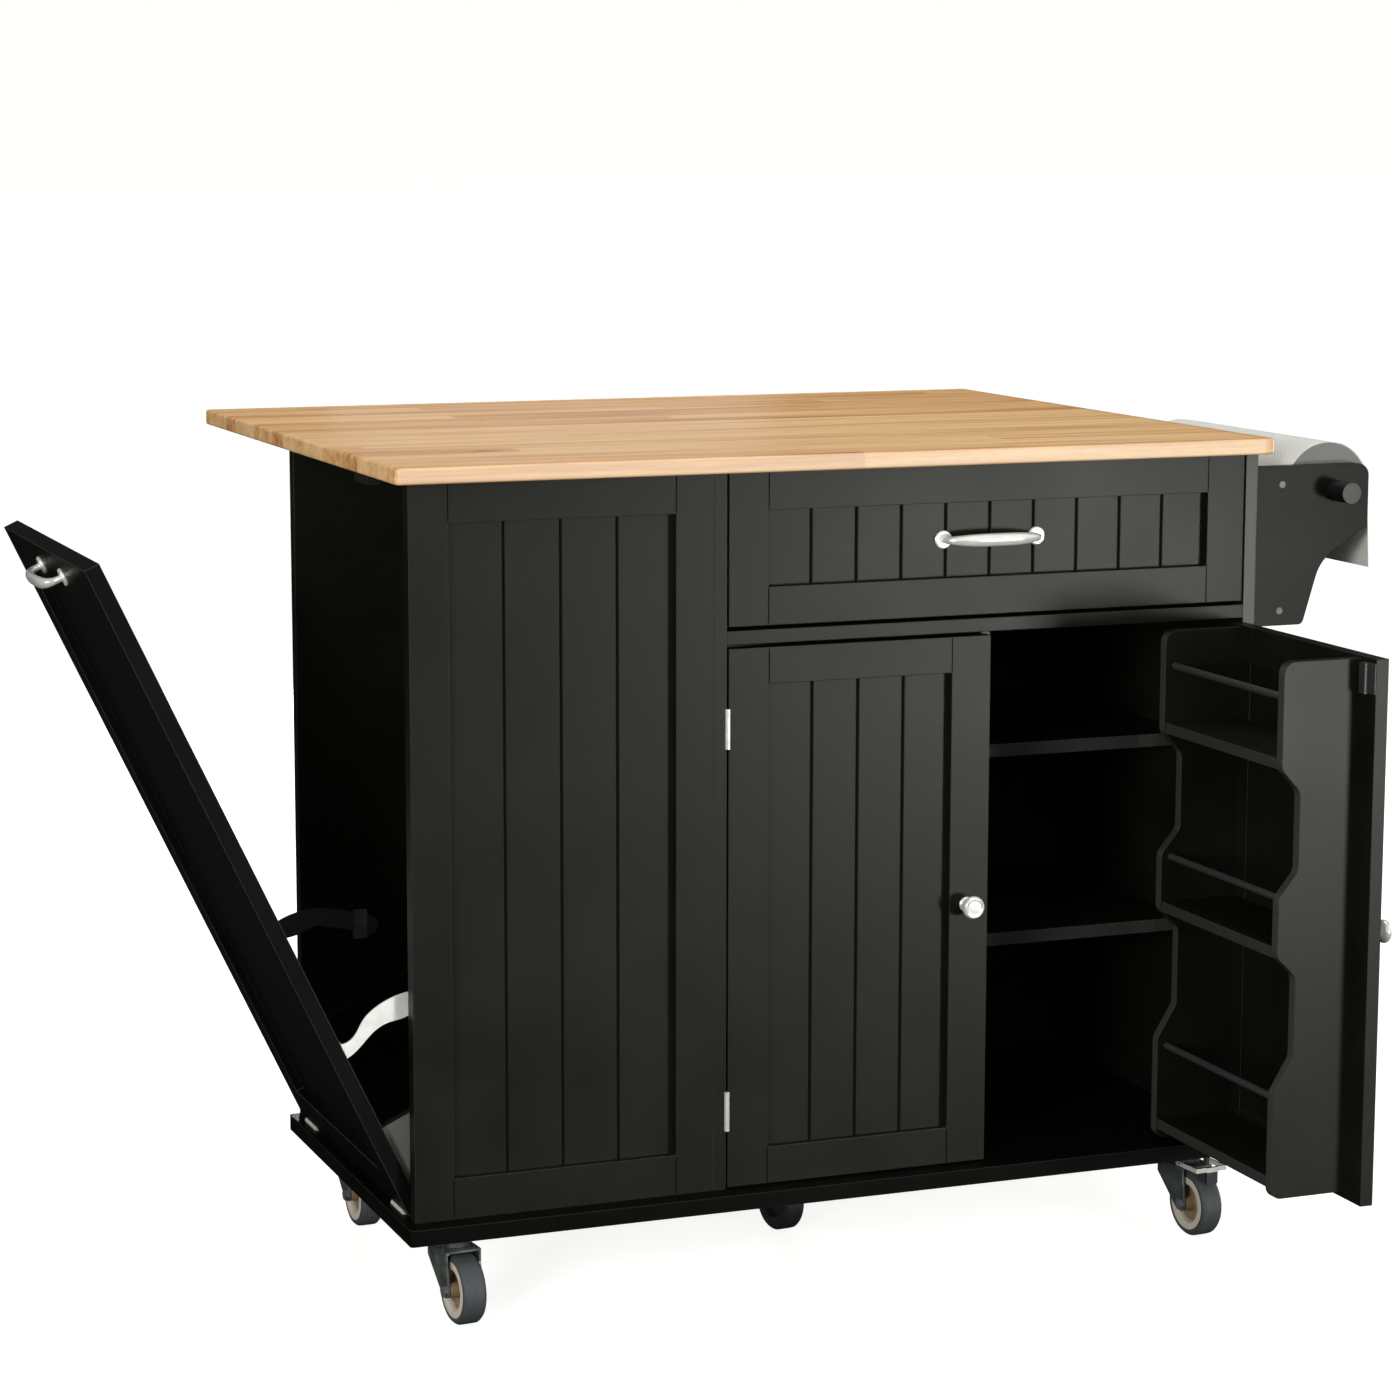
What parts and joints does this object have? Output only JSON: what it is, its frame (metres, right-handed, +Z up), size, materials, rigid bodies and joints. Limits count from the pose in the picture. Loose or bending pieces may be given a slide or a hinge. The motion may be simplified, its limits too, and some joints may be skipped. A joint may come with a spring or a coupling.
{
  "type": "kitchen island cart",
  "caption": "Kitchen island cart with a wooden drop-leaf top, drawer, cupboard doors, door spice rack, tilt-out bin door and side paper roll holder, on swivel casters.",
  "frame": {"origin": "on the floor, under the middle of the whole cart's box at rest", "axes": "+X to the right, +Y to the back, +Z up, seen from the front"},
  "size_m": [1.5152, 1.0992, 0.93],
  "materials": {
    "black_paint": "satin",
    "solid_wood": "satin",
    "chrome": "polished",
    "zinc_steel": "satin",
    "stay_steel": "satin",
    "black_rod": "satin",
    "catch_plastic": "matte",
    "grey_rubber": "matte",
    "paper": "matte"
  },
  "bodies": {
    "cabinet": {"base_board": "black_paint", "worktop": "solid_wood", "bin_front_frame": "black_paint", "bin_front_panel": "black_paint", "back_panel": "black_paint", "right_side_panel": "black_paint", "divider_panel": "black_paint", "drawer_rail": "black_paint", "shelves": "black_paint", "shelf_pins": "zinc_steel", "drawer_runners": "zinc_steel", "hinge_plates": "chrome", "magnetic_catches": "catch_plastic", "stay_guides": "zinc_steel", "roll_brackets": "black_paint", "roll_rails": "black_paint", "screws": "zinc_steel", "paper_tail": "paper", "leaf_wall_plates": "zinc_steel", "caster_plates": "zinc_steel"},
    "leaf": {"drop_leaf": "solid_wood", "leaf_arms": "zinc_steel"},
    "struts": {"leaf_struts": "zinc_steel"},
    "drawer": {"drawer_front_frame": "black_paint", "drawer_front_panel": "black_paint", "drawer_box": "black_paint", "drawer_bottom": "black_paint", "drawer_slides": "zinc_steel", "drawer_handle": "chrome"},
    "left_door": {"left_door_frame": "black_paint", "left_door_panel": "black_paint", "left_door_knob": "chrome", "left_door_fittings": "chrome"},
    "right_door": {"right_door_frame": "black_paint", "right_door_panel": "black_paint", "right_door_knob": "chrome", "right_door_fittings": "chrome", "rack_sides": "black_paint", "rack_shelves": "black_paint", "rack_rods": "black_rod"},
    "bin_door": {"bin_door_frame": "black_paint", "bin_door_panel": "black_paint", "bin_door_handle": "chrome", "bin_door_stays": "stay_steel", "bin_door_fittings": "chrome", "bin_tray": "black_paint"},
    "roll": {"roll_rod": "black_paint", "paper_roll": "paper"},
    "front_left_fork": {"front_left_fork": "zinc_steel"},
    "front_left_wheel": {"front_left_wheel": "grey_rubber"},
    "front_right_fork": {"front_right_fork": "zinc_steel"},
    "front_right_wheel": {"front_right_wheel": "grey_rubber"},
    "front_right_pedal": {"front_right_brake_pedal": "chrome"},
    "back_left_fork": {"back_left_fork": "zinc_steel"},
    "back_left_wheel": {"back_left_wheel": "grey_rubber"},
    "back_right_fork": {"back_right_fork": "zinc_steel"},
    "back_right_wheel": {"back_right_wheel": "grey_rubber"},
    "back_right_pedal": {"back_right_brake_pedal": "chrome"},
    "middle_fork": {"middle_fork": "zinc_steel"},
    "middle_wheel": {"middle_wheel": "grey_rubber"}
  },
  "joints": [
    {"name": "bin_door_tilt", "type": "hinge", "parent": "cabinet", "child": "bin_door", "pos_m": [-0.40939, 0.00213, 0.11625], "axis": [0, 1, 0], "range_deg": [0, 25.1]},
    {"name": "left_door_swing", "type": "hinge", "parent": "cabinet", "child": "left_door", "pos_m": [-0.05034, -0.23538, 0.417], "axis": [0, 0, -1], "range_deg": [0, 110]},
    {"name": "right_door_swing", "type": "hinge", "parent": "cabinet", "child": "right_door", "pos_m": [0.58066, -0.23538, 0.417], "axis": [0, 0, 1], "range_deg": [-90, 20]},
    {"name": "drawer_slide", "type": "slide", "parent": "cabinet", "child": "drawer", "axis": [0, -1, 0], "range_m": [0, 0.3]},
    {"name": "leaf_fold", "type": "hinge", "parent": "cabinet", "child": "leaf", "pos_m": [0.08241, 0.24463, 0.9], "axis": [-1, 0, 0], "range_deg": [0, 90]},
    {"name": "leaf_strut_fold", "type": "hinge", "parent": "cabinet", "child": "struts", "pos_m": [0.08241, 0.24463, 0.8], "axis": [-1, 0, 0], "range_deg": [0, 135]},
    {"name": "roll_spin", "type": "hinge", "parent": "cabinet", "child": "roll", "pos_m": [0.69841, -0.03988, 0.864], "axis": [0, 1, 0], "continuous": true},
    {"name": "front_left_swivel", "type": "hinge", "parent": "cabinet", "child": "front_left_fork", "pos_m": [-0.35909, -0.21438, 0.085], "axis": [0, 0, 1], "continuous": true},
    {"name": "front_left_roll", "type": "hinge", "parent": "front_left_fork", "child": "front_left_wheel", "pos_m": [-0.357, -0.23828, 0.038], "axis": [0.9962, 0.0872, 0], "continuous": true},
    {"name": "front_right_swivel", "type": "hinge", "parent": "cabinet", "child": "front_right_fork", "pos_m": [0.53441, -0.21438, 0.085], "axis": [0, 0, 1], "continuous": true},
    {"name": "front_right_roll", "type": "hinge", "parent": "front_right_fork", "child": "front_right_wheel", "pos_m": [0.5365, -0.23828, 0.038], "axis": [0.9962, 0.0872, 0], "continuous": true},
    {"name": "front_right_pedal_press", "type": "hinge", "parent": "front_right_fork", "child": "front_right_pedal", "pos_m": [0.53607, -0.2333, 0.085], "axis": [0.9962, 0.0872, 0], "range_deg": [0, 5]},
    {"name": "back_left_swivel", "type": "hinge", "parent": "cabinet", "child": "back_left_fork", "pos_m": [-0.35909, 0.16862, 0.085], "axis": [0, 0, 1], "continuous": true},
    {"name": "back_left_roll", "type": "hinge", "parent": "back_left_fork", "child": "back_left_wheel", "pos_m": [-0.35825, 0.14464, 0.038], "axis": [0.9994, 0.0349, 0], "continuous": true},
    {"name": "back_right_swivel", "type": "hinge", "parent": "cabinet", "child": "back_right_fork", "pos_m": [0.53441, 0.16862, 0.085], "axis": [0, 0, 1], "continuous": true},
    {"name": "back_right_roll", "type": "hinge", "parent": "back_right_fork", "child": "back_right_wheel", "pos_m": [0.5365, 0.14472, 0.038], "axis": [0.9962, 0.0872, 0], "continuous": true},
    {"name": "back_right_pedal_press", "type": "hinge", "parent": "back_right_fork", "child": "back_right_pedal", "pos_m": [0.53607, 0.1497, 0.085], "axis": [0.9962, 0.0872, 0], "range_deg": [0, 5]},
    {"name": "middle_swivel", "type": "hinge", "parent": "cabinet", "child": "middle_fork", "pos_m": [0.09041, -0.02038, 0.085], "axis": [0, 0, 1], "continuous": true},
    {"name": "middle_roll", "type": "hinge", "parent": "middle_fork", "child": "middle_wheel", "pos_m": [0.09292, -0.04424, 0.038], "axis": [0.9945, 0.1045, 0], "continuous": true}
  ],
  "couplings": [
    {"joint": "leaf_strut_fold", "follows": "leaf_fold", "ratio": 1.5}
  ]
}
